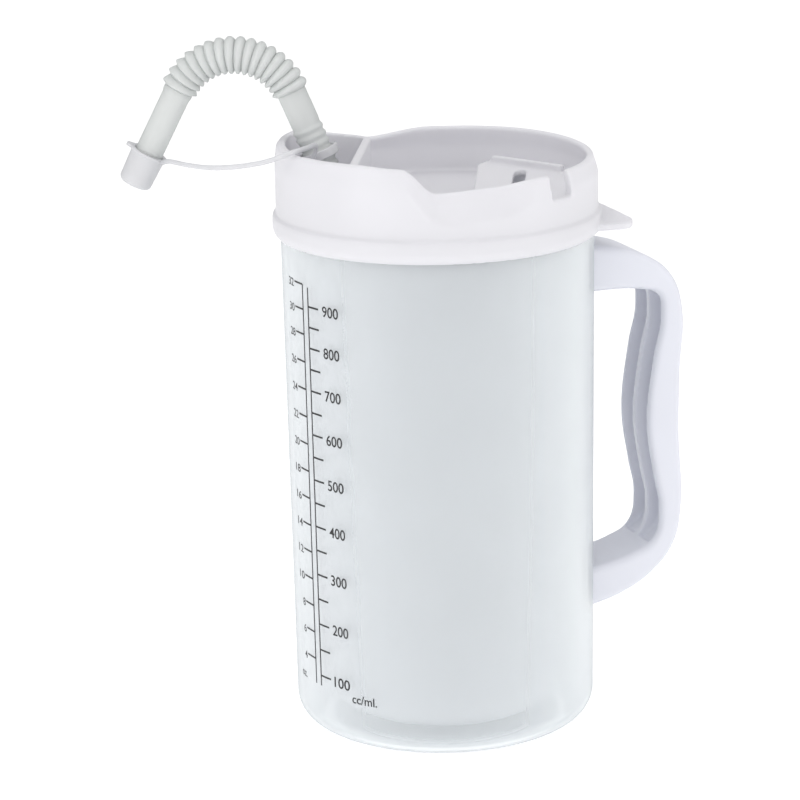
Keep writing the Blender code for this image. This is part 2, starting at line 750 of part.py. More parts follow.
def make_mouthpiece(group, mat, axis):
    radius = MOUTH_OD / 2
    stations = [CLEAR / 2, 2.0, 4.5, MOUTH_L - 0.5, MOUTH_L]
    outer = [STRAW_OD / 2, STRAW_OD / 2, radius, radius, radius - 0.25]
    inner = [r - STRAW_WALL for r in outer]
    way = bellows_frame(1.0)[1]
    part = pipe("straw_mouthpiece", [(along_mouth(s), way) for s in stations], outer, inner, 24)
    smooth(part)
    return link(part, group, mat, axis)


def make_cap(group, helpers, mat, axis):
    """A turned cup over the straw's tip, with a flange and a finger tab, turned onto the straw's axis."""
    bore = MOUTH_OD / 2 + CLEAR
    radius = bore + CAP_WALL
    crown = 1.6
    profile = [
        (0.0, -CAP_L + 1.2), (bore, -CAP_L + 1.2), (bore, 0.0), (FLANGE_OD / 2, 0.0),
        (FLANGE_OD / 2, -FLANGE_T), (radius, -FLANGE_T),
        *arc((radius - crown, -CAP_L + crown), crown, 0, -90, 5), (0.0, -CAP_L),
    ]
    cap = turned("straw_cap", profile, 32)
    helpers.objects.link(cap)
    cap = baked(cap)
    helpers.objects.unlink(cap)
    tip = 2.2
    outline = [(radius - 0.4, -3.0)] + arc((FLANGE_OD / 2 + FINGER_TAB - tip, 0), tip, -80, 80, 6)
    outline.append((radius - 0.4, 3.0))
    tab = prism("cap_finger_tab", outline, -FLANGE_T + 0.1, -0.1)
    boolean(cap, tab, "UNION", helpers)
    way = -bellows_frame(1.0)[1]
    turn = Matrix.Rotation(atan2(way.x, way.z), 4, "Y") @ Matrix.Rotation(pi, 4, "Z")
    opening = along_mouth(MOUTH_L - CAP_OVERLAP)
    cap.matrix_basis = Matrix.Translation(opening * MM) @ turn
    tab.matrix_basis = cap.matrix_basis
    smooth(cap, 40)
    link(cap, group, mat, axis)
    tab.parent = axis
    return cap


def ring_place():
    """Where the tether's ring sits on the straw, and the straw's direction there."""
    rise = sin(FOOT_TILT) + (DECK + POCKET_FLOOR + RING_UP - STRAW_FOOT[1]) * TUBE_CURVE
    return straw_at((asin(rise) - FOOT_TILT) / TUBE_CURVE)


def make_ring(group, mat, axis):
    bore = STRAW_OD / 2 + 0.45 + CLEAR
    profile = [
        (RING_OD / 2, RING_H / 2), (RING_OD / 2, -RING_H / 2), (bore, -RING_H / 2), (bore, RING_H / 2),
        (RING_OD / 2, RING_H / 2),
    ]
    ring = turned("tether_ring", profile, 24)
    place, way = ring_place()
    ring.location = place * MM
    ring.rotation_euler = (0, atan2(way.x, way.z), 0)
    smooth(ring)
    return link(ring, group, mat, axis)


def make_strap(group, mat, axis):
    """The moulded strap from the ring, over the rim, to the cap's flange."""
    ring, _ = ring_place()
    opening = along_mouth(MOUTH_L - CAP_OVERLAP)
    way = bellows_frame(1.0)[1]
    over = DECK + RIM_HIGH + 0.8
    side = Vector((0.0, -1.0, 0.0))
    inward = way.cross(Vector((0, 1, 0))).normalized()
    if inward.x < 0:
        inward = -inward
    flange = opening + way * (FLANGE_T / 2) + (inward * 0.8 + side * 0.6) * (FLANGE_OD / 2 + CLEAR + 0.2)
    knots = [
        ring + Vector((-0.12, -0.99, 0)) * (RING_OD / 2 + CLEAR + STRAP_T / 2 + 0.3),
        Vector((-37.6, -10.4, over - 2.0)), Vector((-38.0, -16.0, over - 0.6)),
        Vector((-39.6, -24.0, over)), Vector((-43.4, -30.2, over - 0.2)),
        Vector((-51.0, -32.0, over - 2.6)), Vector((-60.0, -30.6, over - 4.4)),
        Vector((-69.0, -26.6, over - 5.6)), Vector((-77.5, -20.4, over - 6.0)),
        Vector((-85.0, -12.6, over - 6.2)), flange,
    ]
    points = through(knots, 3)
    strap = swept("cap_tether", [tuple(p) for p in points], circle(STRAP_T / 2 * 1.2, 8), (0, 0, 1))
    smooth(strap, 60)
    return link(strap, group, mat, axis)


def main():
    clear_scene()
    group = collection("insulated_straw_mug")
    helpers = collection("cutters")
    frosted = plastic("frosted_clear_styrene", (0.86, 0.89, 0.91), 0.35, 0.7, 0.6)
    lining = plastic("natural_polypropylene", (0.84, 0.86, 0.87), 0.45, 0.4, 0.8)
    white = plastic("white_polypropylene", (0.87, 0.86, 0.91), 0.4)
    natural = plastic("clear_polyethylene", (0.78, 0.80, 0.79), 0.35, 0.5, 0.75)

    make_shell(group, helpers, frosted)
    make_liner(group, lining)
    make_handle(group, helpers, white)
    axis = empty("lid_axis", group, (0, 0, SHELL_H), turn=radians(LID_TURN))
    frame = empty("lid_frame", group, (0, 0, -SHELL_H), axis)
    make_lid(group, helpers, white, frame)
    make_tube(group, natural, frame)
    make_bellows(group, natural, frame)
    make_mouthpiece(group, natural, frame)
    make_cap(group, helpers, natural, frame)
    make_ring(group, natural, frame)
    make_strap(group, natural, frame)


main()
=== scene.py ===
from math import acos, asin, atan2, cos, degrees, hypot, pi, radians, sin, sqrt

import bmesh
import bpy
from mathutils import Matrix, Vector

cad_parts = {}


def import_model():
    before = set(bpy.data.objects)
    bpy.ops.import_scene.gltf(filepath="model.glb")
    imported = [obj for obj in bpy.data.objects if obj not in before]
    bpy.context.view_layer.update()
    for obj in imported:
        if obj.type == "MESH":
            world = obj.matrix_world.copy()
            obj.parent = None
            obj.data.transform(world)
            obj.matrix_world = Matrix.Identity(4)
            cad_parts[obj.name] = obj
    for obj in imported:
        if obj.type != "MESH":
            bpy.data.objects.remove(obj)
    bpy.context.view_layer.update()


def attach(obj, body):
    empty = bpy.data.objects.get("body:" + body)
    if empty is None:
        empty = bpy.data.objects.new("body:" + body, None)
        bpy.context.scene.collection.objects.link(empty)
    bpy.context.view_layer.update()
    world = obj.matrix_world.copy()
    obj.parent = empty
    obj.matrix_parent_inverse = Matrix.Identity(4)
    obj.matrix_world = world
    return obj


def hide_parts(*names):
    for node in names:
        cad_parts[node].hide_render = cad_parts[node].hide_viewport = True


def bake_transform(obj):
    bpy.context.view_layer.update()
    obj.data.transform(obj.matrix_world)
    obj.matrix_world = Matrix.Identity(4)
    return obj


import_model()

MM = 0.001
CLEAR = 0.3

# Driving sizes, in mm, as in the CAD model
SHELL_TOP_R, SHELL_FOOT_R, SHELL_H, SHELL_WALL, SHELL_CORNER = 51.0, 49.6, 171.0, 1.6, 8.8
LINER_TOP_R, LINER_FOOT_R, LINER_WALL, LINER_CORNER = 48.2, 46.0, 1.4, 24.0
LINER_FLOOR_GAP, LIP_T = 1.6, 1.1
SKIRT_T, SKIRT_H, BEAD_H, BEAD_STEP = 2.1, 8.2, 7.9, 1.2
DECK_T, PLUG_T, PLUG_DEPTH, COLLAR_T = 1.8, 1.5, 6.5, 2.5
RIM_HIGH, RIM_BACK, RIM_FRONT, LID_TURN = 21.0, 15.7, 11.9, -25.5
POCKET_RIGHT, POCKET_FAR, POCKET_CORNER = -22.5, 19.0, 5.0
POCKET_FALL, POCKET_T, POCKET_FLOOR = 5.8, 2.5, 7.0
PLATFORM_LEFT, PLATFORM_CORNER, PLATFORM_SLOPE = 12.3, (15.3, 18.2), -35.8
PLATFORM_HIGH, PLATFORM_FALL, PLATFORM_T = 8.9, 11.8, 2.0
LEDGE_H, LEDGE_T = 2.6, 1.8
SLOT_AT, SLOT_W, SLOT_L = (26.8, 5.8), 4.0, 20.0
NOTCH_AT, NOTCH_W, NOTCH_FLOOR = -36.4, 9.2, 6.9
TAB_TIP, TAB_LEFT, TAB_RIGHT, TAB_T, TAB_TOP = 63.4, 27.0, 8.8, 2.3, 6.2
HANDLE_W, HANDLE_SPINE, HANDLE_SIDE, HANDLE_RIB = 24.5, 2.8, 2.3, 2.4
UPPER_ARM_Z, LOWER_ARM_Z = 148.8, 40.2
LUG_W, LUG_H, LUG_OUT = 12.0, 7.0, 4.6
STRAW_OD, STRAW_WALL, STRAW_FOOT = 9.6, 0.8, (-4.8, 26.0)
FOOT_TILT, STRAW_TILT, TUBE_L = radians(2.0), radians(23.5), 190.1
NECK_RIBS, NECK_PITCH = 18, 2.6
BELLOWS_ARC_R, BELLOWS_BEND, BELLOWS_LINKS, RIBS_PER_LINK = 20.2, radians(129.3), 4, 4
RIB_OD, MOUTH_OD, MOUTH_L = 12.4, 9.2, 33.3
CAP_L, CAP_WALL, CAP_OVERLAP = 11.9, 0.9, 10.1
FLANGE_OD, FLANGE_T, FINGER_TAB = 12.8, 1.0, 1.5
RING_OD, RING_H, RING_AT_Z = 13.4, 3.0, 190.0
STRAP_W, STRAP_T = 1.9, 1.1

DECK = SHELL_H + CLEAR + LIP_T + CLEAR + DECK_T
SKIRT_IN = SHELL_TOP_R + CLEAR + 0.1
COLLAR_R = SKIRT_IN + SKIRT_T - BEAD_STEP
LID_SPIN = Matrix.Rotation(radians(LID_TURN), 4, "Z")


# ---------------------------------------------------------------- materials

def material(name, colour, roughness, mottle=0.02, grain=0.00002, grain_scale=1400.0, sheen=0.5):
    """A moulded plastic: faint mottling of the colour and the gloss, and a fine moulded grain."""
    mat = bpy.data.materials.new(name)
    mat.use_nodes = True
    tree = mat.node_tree
    nodes, links = tree.nodes, tree.links
    shader = nodes["Principled BSDF"]
    shader.inputs["Specular IOR Level"].default_value = sheen
    where = nodes.new("ShaderNodeTexCoord")
    cloud = nodes.new("ShaderNodeTexNoise")
    cloud.inputs["Scale"].default_value = 45.0
    cloud.inputs["Detail"].default_value = 3.0
    links.new(where.outputs["Object"], cloud.inputs["Vector"])
    tint = nodes.new("ShaderNodeValToRGB")
    tint.color_ramp.elements[0].position = 0.3
    tint.color_ramp.elements[0].color = (*[c * (1.0 - mottle) for c in colour], 1.0)
    tint.color_ramp.elements[1].position = 0.7
    tint.color_ramp.elements[1].color = (*colour, 1.0)
    links.new(cloud.outputs["Fac"], tint.inputs["Fac"])
    links.new(tint.outputs["Color"], shader.inputs["Base Color"])
    gloss = nodes.new("ShaderNodeMapRange")
    gloss.inputs["To Min"].default_value = roughness - 0.04
    gloss.inputs["To Max"].default_value = roughness + 0.05
    links.new(cloud.outputs["Fac"], gloss.inputs["Value"])
    links.new(gloss.outputs["Result"], shader.inputs["Roughness"])
    fine = nodes.new("ShaderNodeTexNoise")
    fine.inputs["Scale"].default_value = grain_scale
    fine.inputs["Detail"].default_value = 2.0
    links.new(where.outputs["Object"], fine.inputs["Vector"])
    bump = nodes.new("ShaderNodeBump")
    bump.inputs["Strength"].default_value = 0.35
    bump.inputs["Distance"].default_value = grain
    links.new(fine.outputs["Fac"], bump.inputs["Height"])
    links.new(bump.outputs["Normal"], shader.inputs["Normal"])
    return mat, tint, bump


def translucent(name, colour, roughness, share, through, edge=None, edge_share=0.0):
    """A moulded plastic that light passes into, with painted shade: darker where it is seen edge on."""
    mat, tint, bump = material(name, colour, roughness)
    nodes, links = mat.node_tree.nodes, mat.node_tree.links
    shader = nodes["Principled BSDF"]
    output = nodes["Material Output"]
    glow = nodes.new("ShaderNodeBsdfTranslucent")
    glow.inputs["Color"].default_value = (*through, 1.0)
    links.new(bump.outputs["Normal"], glow.inputs["Normal"])
    mix = nodes.new("ShaderNodeMixShader")
    mix.inputs["Fac"].default_value = share
    links.new(shader.outputs["BSDF"], mix.inputs[1])
    links.new(glow.outputs["BSDF"], mix.inputs[2])
    links.new(mix.outputs["Shader"], output.inputs["Surface"])
    # Painted shade: the colour and the light passing through darken towards the edge colour where the surface
    # is seen edge on.
    if edge is not None:
        facing = nodes.new("ShaderNodeLayerWeight")
        facing.inputs["Blend"].default_value = 0.22
        painted_edge_shade = nodes.new("ShaderNodeMix")
        painted_edge_shade.data_type = "RGBA"
        strength = nodes.new("ShaderNodeMath")
        strength.operation = "MULTIPLY"
        strength.inputs[1].default_value = edge_share
        links.new(facing.outputs["Facing"], strength.inputs[0])
        links.new(strength.outputs["Value"], painted_edge_shade.inputs["Factor"])
        links.new(tint.outputs["Color"], painted_edge_shade.inputs[6])
        painted_edge_shade.inputs[7].default_value = (*edge, 1.0)
        links.new(painted_edge_shade.outputs[2], shader.inputs["Base Color"])
        links.new(painted_edge_shade.outputs[2], glow.inputs["Color"])
    return mat


def frosted_wall(name, colour, clear, edge, roughness):
    """The clear outer wall: mostly seen through, with a soft gloss, and painted shade: darker where it is
    seen edge on.
    """
    mat, tint, _ = material(name, colour, roughness, mottle=0.03, grain=0.00001)
    nodes, links = mat.node_tree.nodes, mat.node_tree.links
    shader = nodes["Principled BSDF"]
    output = nodes["Material Output"]
    window = nodes.new("ShaderNodeBsdfTransparent")
    facing = nodes.new("ShaderNodeLayerWeight")
    facing.inputs["Blend"].default_value = 0.35
    # Painted shade: this ramp runs from the clear colour to the edge colour where the wall is seen edge on.
    # It tints both what shows through and the wall's own colour.
    depth = nodes.new("ShaderNodeValToRGB")
    depth.color_ramp.elements[0].position = 0.62
    depth.color_ramp.elements[0].color = (*clear, 1.0)
    depth.color_ramp.elements[1].position = 1.0
    depth.color_ramp.elements[1].color = (*edge, 1.0)
    links.new(facing.outputs["Facing"], depth.inputs["Fac"])
    links.new(depth.outputs["Color"], window.inputs["Color"])
    painted_edge_shade = nodes.new("ShaderNodeMix")
    painted_edge_shade.data_type = "RGBA"
    painted_edge_shade.blend_type = "MULTIPLY"
    painted_edge_shade.inputs["Factor"].default_value = 1.0
    links.new(tint.outputs["Color"], painted_edge_shade.inputs[6])
    links.new(depth.outputs["Color"], painted_edge_shade.inputs[7])
    links.new(painted_edge_shade.outputs[2], shader.inputs["Base Color"])
    share = nodes.new("ShaderNodeMapRange")
    share.inputs["From Min"].default_value = 0.0
    share.inputs["From Max"].default_value = 1.0
    share.inputs["To Min"].default_value = 0.16
    share.inputs["To Max"].default_value = 0.85
    links.new(facing.outputs["Facing"], share.inputs["Value"])
    mix = nodes.new("ShaderNodeMixShader")
    links.new(share.outputs["Result"], mix.inputs["Fac"])
    links.new(window.outputs["BSDF"], mix.inputs[1])
    links.new(shader.outputs["BSDF"], mix.inputs[2])
    links.new(mix.outputs["Shader"], output.inputs["Surface"])
    return mat


WHITE = translucent("white_polypropylene", (0.82, 0.815, 0.845), 0.38, 0.25, (0.92, 0.915, 0.94))
HANDLE_WHITE = translucent("handle_polypropylene", (0.81, 0.82, 0.88), 0.34, 0.2, (0.90, 0.91, 0.96))
# The frosted wall's edge colour is painted shade along its outline, where it is seen edge on.
FROSTED = frosted_wall(
    "frosted_clear_styrene", (0.84, 0.865, 0.88), (0.985, 0.99, 0.995), (0.50, 0.54, 0.57), 0.3
)
LINING = translucent("natural_polypropylene", (0.95, 0.96, 0.97), 0.42, 0.5, (0.98, 0.985, 0.99))
# The straw and the cap carry painted shade: their last two values darken them towards grey where they are
# seen edge on.
STRAW = translucent(
    "straw_polyethylene", (0.90, 0.91, 0.905), 0.3, 0.5, (0.93, 0.95, 0.94), (0.42, 0.46, 0.45), 0.6
)
CAP = translucent(
    "cap_polyethylene", (0.80, 0.80, 0.82), 0.35, 0.3, (0.82, 0.84, 0.85), (0.42, 0.44, 0.46), 0.55
)
INK, _, _ = material("black_print", (0.012, 0.012, 0.014), 0.45, mottle=0.3, grain_scale=900.0)


# ---------------------------------------------------------------- mesh helpers

def eased(value):
    t = min(max(value, 0.0), 1.0)
    return t * t * (3.0 - 2.0 * t)


def read_off(table, at):
    for (x0, v0), (x1, v1) in zip(table, table[1:]):
        if at <= x1:
            return v0 + (v1 - v0) * eased((at - x0) / (x1 - x0))
    return table[-1][1]


def arc(centre, radius, start, end, steps):
    return [
        (centre[0] + radius * cos(radians(start + (end - start) * i / steps)),
         centre[1] + radius * sin(radians(start + (end - start) * i / steps)))
        for i in range(steps + 1)
    ]


def object_of(bm, name, link=True):
    bmesh.ops.recalc_face_normals(bm, faces=bm.faces)
    mesh = bpy.data.meshes.new(name)
    bm.to_mesh(mesh)
    bm.free()
    obj = bpy.data.objects.new(name, mesh)
    if link:
        bpy.context.scene.collection.objects.link(obj)
    return obj


def smooth(obj, angle=40.0):
    obj.data.shade_smooth()
    obj.data.set_sharp_from_angle(angle=radians(angle))
    return obj


def turned(name, profile, steps, closed=False):
    """A solid of revolution about Z from (r, z) points in mm, both ends on the axis or the profile closed."""
    bm = bmesh.new()
    rows = []
    for k in range(steps):
        turn = 2 * pi * k / steps
        rows.append([bm.verts.new((r * cos(turn) * MM, r * sin(turn) * MM, z * MM)) for r, z in profile])
    count = len(profile)
    for k in range(steps):
        here, there = rows[k], rows[(k + 1) % steps]
        for i in range(count if closed else count - 1):
            bm.faces.new((here[i], here[(i + 1) % count], there[(i + 1) % count], there[i]))
    bmesh.ops.remove_doubles(bm, verts=bm.verts, dist=1e-7)
    return object_of(bm, name)


def prism(name, outline, low, high):
    bm = bmesh.new()
    face = bm.faces.new([bm.verts.new((x * MM, y * MM, low * MM)) for x, y in outline])
    raised = bmesh.ops.extrude_face_region(bm, geom=[face])["geom"]
    lifted = [v for v in raised if isinstance(v, bmesh.types.BMVert)]
    bmesh.ops.translate(bm, verts=lifted, vec=(0.0, 0.0, (high - low) * MM))
    return object_of(bm, name)


def box(name, low, high):
    outline = [(low[0], low[1]), (high[0], low[1]), (high[0], high[1]), (low[0], high[1])]
    return prism(name, outline, low[2], high[2])


def cut_above(obj, at, normal):
    bm = bmesh.new()
    bm.from_mesh(obj.data)
    cut = bmesh.ops.bisect_plane(
        bm, geom=[*bm.verts, *bm.edges, *bm.faces], plane_co=at * MM, plane_no=normal, clear_outer=True
    )
    bmesh.ops.contextual_create(bm, geom=[e for e in cut["geom_cut"] if isinstance(e, bmesh.types.BMEdge)])
    bmesh.ops.recalc_face_normals(bm, faces=bm.faces)
    bm.to_mesh(obj.data)
    bm.free()
    return obj


def applied(obj):
    """obj with its modifiers made real."""
    bpy.context.view_layer.update()
    graph = bpy.context.evaluated_depsgraph_get()
    mesh = bpy.data.meshes.new_from_object(obj.evaluated_get(graph))
    obj.modifiers.clear()
    obj.data = mesh
    return obj


def boolean(obj, other, how):
    """Joins or cuts with another solid, which is then removed."""
    step = obj.modifiers.new(other.name, "BOOLEAN")
    step.operation = how
    step.solver = "EXACT"
    step.object = other
    applied(obj)
    bpy.data.objects.remove(other)
    return obj


def moulded(obj, voxel, passes):
    """Rounds every edge a little, as a moulding has them."""
    remesh = obj.modifiers.new("remesh", "REMESH")
    remesh.mode = "VOXEL"
    remesh.voxel_size = voxel * MM
    relax = obj.modifiers.new("relax", "SMOOTH")
    relax.factor = 0.5
    relax.iterations = passes
    applied(obj)
    obj.data.shade_smooth()
    return obj


def skin(bm, rings, closed_loop=False):
    for ring, following in zip(rings, rings[1:] + ([rings[0]] if closed_loop else [])):
        count = len(ring)
        for k in range(count):
            bm.faces.new((ring[k], ring[(k + 1) % count], following[(k + 1) % count], following[k]))


def pipe(name, stations, outer, inner, sides):
    """A pipe open at both ends through (place, direction) stations in the lid's plane of symmetry."""
    bm = bmesh.new()
    across = Vector((0.0, 1.0, 0.0))
    skins = []
    for radii in (outer, inner):
        rings = []
        for (place, way), radius in zip(stations, radii):
            up = across.cross(way)
            rings.append([
                bm.verts.new((place + across * radius * cos(2 * pi * k / sides)
                              + up * radius * sin(2 * pi * k / sides)) * MM)
                for k in range(sides)
            ])
        skins.append(rings)
        skin(bm, rings)
    for end in (0, -1):
        for k in range(sides):
            bm.faces.new((
                skins[0][end][k], skins[0][end][(k + 1) % sides],
                skins[1][end][(k + 1) % sides], skins[1][end][k],
            ))
    return object_of(bm, name)


def dress(obj, mat, slot_name, body, *nodes):
    """Material, CAD nodes it stands for and body it rides on. The record slot name is not used."""
    obj.data.materials.clear()
    obj.data.materials.append(mat)
    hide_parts(*nodes)
    if body is not None:
        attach(obj, body)
    return obj


# ---------------------------------------------------------------- mug

def shell_radius(z):
    return SHELL_FOOT_R + (SHELL_TOP_R - SHELL_FOOT_R) * (z - SHELL_CORNER) / (SHELL_H - SHELL_CORNER)


def liner_radius(z):
    return LINER_FOOT_R + (LINER_TOP_R - LINER_FOOT_R) * (z - LINER_CORNER) / (SHELL_H - LINER_CORNER)


def make_shell():
    corner_r = SHELL_FOOT_R - SHELL_CORNER
    ring_r = corner_r - 3.0
    profile = [
        (0.0, SHELL_WALL), *arc((corner_r, SHELL_CORNER), SHELL_CORNER - SHELL_WALL, -90, 0, 12),
        (SHELL_TOP_R - SHELL_WALL, SHELL_H - 0.3), (SHELL_TOP_R - SHELL_WALL + 0.3, SHELL_H),
        (SHELL_TOP_R - 0.3, SHELL_H), (SHELL_TOP_R, SHELL_H - 0.3),
        *arc((corner_r, SHELL_CORNER), SHELL_CORNER, 0, -90, 16),
        (ring_r, 0.0), (ring_r - 0.6, 0.5), (0.0, 0.5),
    ]
    shell = turned("outer_shell_visual", profile, 256)
    for z in (UPPER_ARM_Z, LOWER_ARM_Z):
        wall = shell_radius(z) - SHELL_WALL / 2
        reach = shell_radius(z) + LUG_OUT
        lug = box("lug", (wall, -LUG_W / 2, z - LUG_H / 2), (reach, LUG_W / 2, z + LUG_H / 2))
        boolean(shell, lug, "UNION")
    smooth(shell, 35)
    return dress(shell, FROSTED, "frosted_shell", "mug", "outer_shell")


def make_liner():
    floor = SHELL_WALL + LINER_FLOOR_GAP
    centre = (liner_radius(LINER_CORNER) - LINER_CORNER, floor + LINER_CORNER)
    lip_low = SHELL_H + CLEAR
    lip_high = lip_low + LIP_T
    profile = [
        (0.0, floor + LINER_WALL), *arc(centre, LINER_CORNER - LINER_WALL, -90, 0, 24),
        (LINER_TOP_R - LINER_WALL, lip_high - 0.4), (LINER_TOP_R - LINER_WALL + 0.4, lip_high),
        (SHELL_TOP_R - 0.2, lip_high), (SHELL_TOP_R, lip_high - 0.2), (SHELL_TOP_R, lip_low),
        (LINER_TOP_R, lip_low), *arc(centre, LINER_CORNER, 0, -90, 24), (0.0, floor),
    ]
    liner = turned("inner_liner_visual", profile, 256)
    smooth(liner, 35)
    return dress(liner, LINING, "liner", "mug", "inner_liner")


def outline_solid(name, points, depth, edge, rounds):
    """A flat outline in the XZ plane through smooth points, this deep along Y, with rounded edges."""
    curve = bpy.data.curves.new(name, "CURVE")
    curve.dimensions = "2D"
    curve.fill_mode = "BOTH"
    curve.resolution_u = 10
    curve.extrude = (depth / 2 - edge) * MM
    curve.bevel_depth = edge * MM
    curve.bevel_resolution = rounds
    curve.offset = -edge * MM
    spline = curve.splines.new("BEZIER")
    spline.bezier_points.add(len(points) - 1)
    spline.use_cyclic_u = True
    for knot, (x, z, kind) in zip(spline.bezier_points, points):
        knot.co = (x * MM, z * MM, 0.0)
        knot.handle_left_type = knot.handle_right_type = kind
    obj = bpy.data.objects.new(name, curve)
    obj.rotation_euler = (radians(90), 0.0, 0.0)
    bpy.context.scene.collection.objects.link(obj)
    bpy.context.view_layer.update()
    graph = bpy.context.evaluated_depsgraph_get()
    mesh = bpy.data.meshes.new_from_object(obj.evaluated_get(graph))
    mesh.transform(obj.matrix_world)
    bm = bmesh.new()
    bm.from_mesh(mesh)
    bmesh.ops.remove_doubles(bm, verts=bm.verts, dist=1e-6)
    bpy.data.objects.remove(obj)
    return object_of(bm, name)


def make_handle():
    outer = [
        (48.0, 156.9, "VECTOR"), (58.6, 155.6, "AUTO"), (70.1, 151.6, "AUTO"), (79.0, 144.2, "AUTO"),
        (82.8, 133.4, "AUTO"), (82.0, 111.0, "AUTO"), (81.7, 90.0, "AUTO"), (82.4, 63.0, "AUTO"),
        (79.6, 51.0, "AUTO"), (71.8, 42.0, "AUTO"), (60.0, 35.6, "AUTO"), (47.0, 32.3, "VECTOR"),
    ]
    inner = [
        (47.0, 46.0, "VECTOR"), (65.0, 49.8, "AUTO"), (72.0, 53.8, "AUTO"), (74.3, 64.0, "AUTO"),
        (72.2, 76.0, "AUTO"), (69.8, 94.0, "AUTO"), (72.4, 117.0, "AUTO"), (75.1, 131.0, "AUTO"),
        (73.6, 138.4, "AUTO"), (68.5, 140.2, "AUTO"), (48.0, 141.3, "VECTOR"),
    ]
    handle = outline_solid("handle_visual", outer + inner, HANDLE_W, 2.4, 5)
    channel_w = (HANDLE_W - 2 * HANDLE_SIDE - HANDLE_RIB) / 2
    spine = [(x - HANDLE_SPINE, z) for x, z, _ in outer[4:8]]
    channel = [
        (60.0, 137.4, "VECTOR"), (73.2, 138.2, "VECTOR"), (spine[0][0] - 0.8, 137.0, "AUTO"),
        *[(x, z, "AUTO") for x, z in spine], (77.4, 55.6, "AUTO"), (72.4, 51.6, "VECTOR"),
        (60.0, 55.4, "VECTOR"),
    ]
    for side in (1, -1):
        cut = outline_solid("channel", channel, channel_w, 0.8, 2)
        cut.data.transform(Matrix.Translation((0.0, side * (HANDLE_RIB + channel_w) / 2 * MM, 0.0)))
        boolean(handle, cut, "DIFFERENCE")
    moulded(handle, 0.4, 5)
    cut = turned(
        "wall_cut",
        [(0.0, SHELL_H + 10), (shell_radius(SHELL_H + 10) + CLEAR, SHELL_H + 10),
         (shell_radius(-10.0) + CLEAR, -10.0), (0.0, -10.0)],
        256,
    )
    boolean(handle, cut, "DIFFERENCE")
    for z in (UPPER_ARM_Z, LOWER_ARM_Z):
        reach = shell_radius(z) + LUG_OUT + CLEAR
        half_w, half_h = LUG_W / 2 + CLEAR, LUG_H / 2 + CLEAR
        boolean(handle, box("socket", (40.0, -half_w, z - half_h), (reach, half_w, z + half_h)), "DIFFERENCE")
    smooth(handle, 50)
    return dress(handle, HANDLE_WHITE, "white_plastic", "mug", "handle")


# ---------------------------------------------------------------- printed scales

def curled(obj, at, foot, lift=0.06):
    """Wraps a flat mesh, x along the wall and y up it in mm, onto the outer wall."""
    for v in obj.data.vertices:
        z = foot + v.co.y
        radius = shell_radius(z) + lift
        turn = radians(at) + v.co.x / radius
        v.co = Vector((radius * cos(turn), radius * sin(turn), z)) * MM
    return obj


def lettering(words, width, height, centred=False):
    """A flat mesh of the words in mm, fitted to this width and height, from its lower left corner."""
    curve = bpy.data.curves.new("words", "FONT")
    curve.body = words
    curve.size = 5.0
    curve.resolution_u = 6
    curve.offset = 0.06
    obj = bpy.data.objects.new("words", curve)
    bpy.context.scene.collection.objects.link(obj)
    bpy.context.view_layer.update()
    graph = bpy.context.evaluated_depsgraph_get()
    mesh = bpy.data.meshes.new_from_object(obj.evaluated_get(graph))
    bpy.data.objects.remove(obj)
    low_x = min(v.co.x for v in mesh.vertices)
    high_x = max(v.co.x for v in mesh.vertices)
    low_y = min(v.co.y for v in mesh.vertices)
    high_y = max(v.co.y for v in mesh.vertices)
    for v in mesh.vertices:
        v.co.x = (v.co.x - low_x) / (high_x - low_x) * width
        v.co.y = (v.co.y - low_y) / (high_y - low_y) * height - (height / 2 if centred else 0.0)
        v.co.z = 0.0
    bm = bmesh.new()
    bm.from_mesh(mesh)
    bmesh.ops.triangulate(bm, faces=bm.faces)
    bpy.data.meshes.remove(mesh)
    return object_of(bm, "words")


def bar(x0, x1, y0, y1):
    """A flat printed bar in mm, in short lengths so that it follows the wall."""
    bm = bmesh.new()
    across = max(1, int(abs(x1 - x0) / 1.0))
    up = max(1, int(abs(y1 - y0) / 4.0))
    grid = [
        [bm.verts.new((x0 + (x1 - x0) * i / across, y0 + (y1 - y0) * j / up, 0.0)) for i in range(across + 1)]
        for j in range(up + 1)
    ]
    for j in range(up):
        for i in range(across):
            bm.faces.new((grid[j][i], grid[j][i + 1], grid[j + 1][i + 1], grid[j + 1][i]))
    return object_of(bm, "bar")


def joined(name, parts):
    bm = bmesh.new()
    for part in parts:
        bm.from_mesh(part.data)
        bpy.data.objects.remove(part)
    return object_of(bm, name)


def height_of_ml(amount):
    """Where this volume's mark is on the wall. The liner tapers, so the marks close up towards the top."""
    ratio = 0.858
    fill = (amount - 100.0) / 800.0
    share = ((ratio**3 + (1 - ratio**3) * fill) ** (1 / 3) - ratio) / (1 - ratio)
    return 22.45 + 124.4 * share


